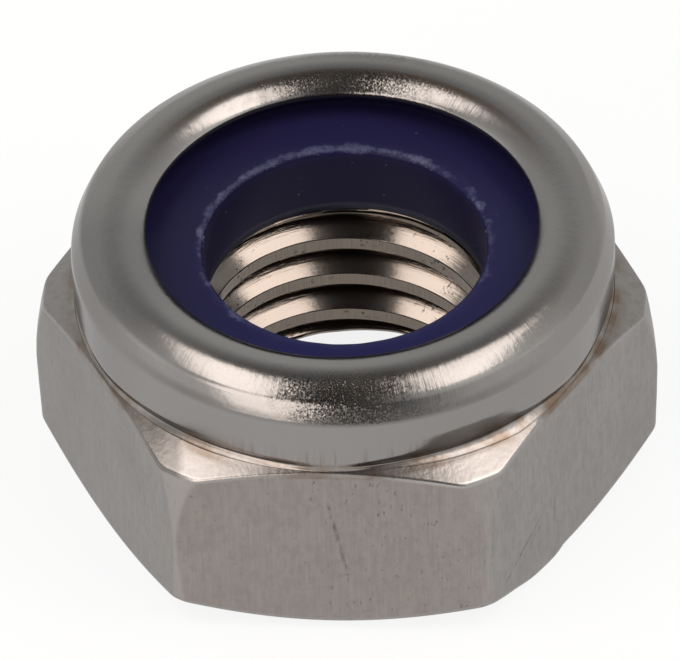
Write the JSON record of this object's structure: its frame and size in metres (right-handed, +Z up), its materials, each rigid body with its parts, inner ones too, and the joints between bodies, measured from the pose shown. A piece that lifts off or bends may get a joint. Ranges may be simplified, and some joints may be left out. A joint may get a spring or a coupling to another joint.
{
  "type": "nylon insert lock nut",
  "caption": "Hexagon lock nut: a stainless steel body whose round collar is rolled over a dark blue nylon ring that grips the thread of the screw.",
  "frame": {"origin": "centre of the bearing face, on the thread axis, at the bottom of the nut", "axes": "+Z up along the thread axis, from the bearing face to the collar; +X through a corner of the hexagon; -Y out of a flat of the hexagon"},
  "size_m": [0.0194, 0.0168, 0.0097],
  "materials": {
    "stainless_steel": "bright drawn flats with fine vertical lines, polished rolled lip",
    "blue_nylon": "satin"
  },
  "bodies": {
    "root": {"nut_body": "stainless_steel", "nylon_ring": "blue_nylon"}
  },
  "joints": []
}
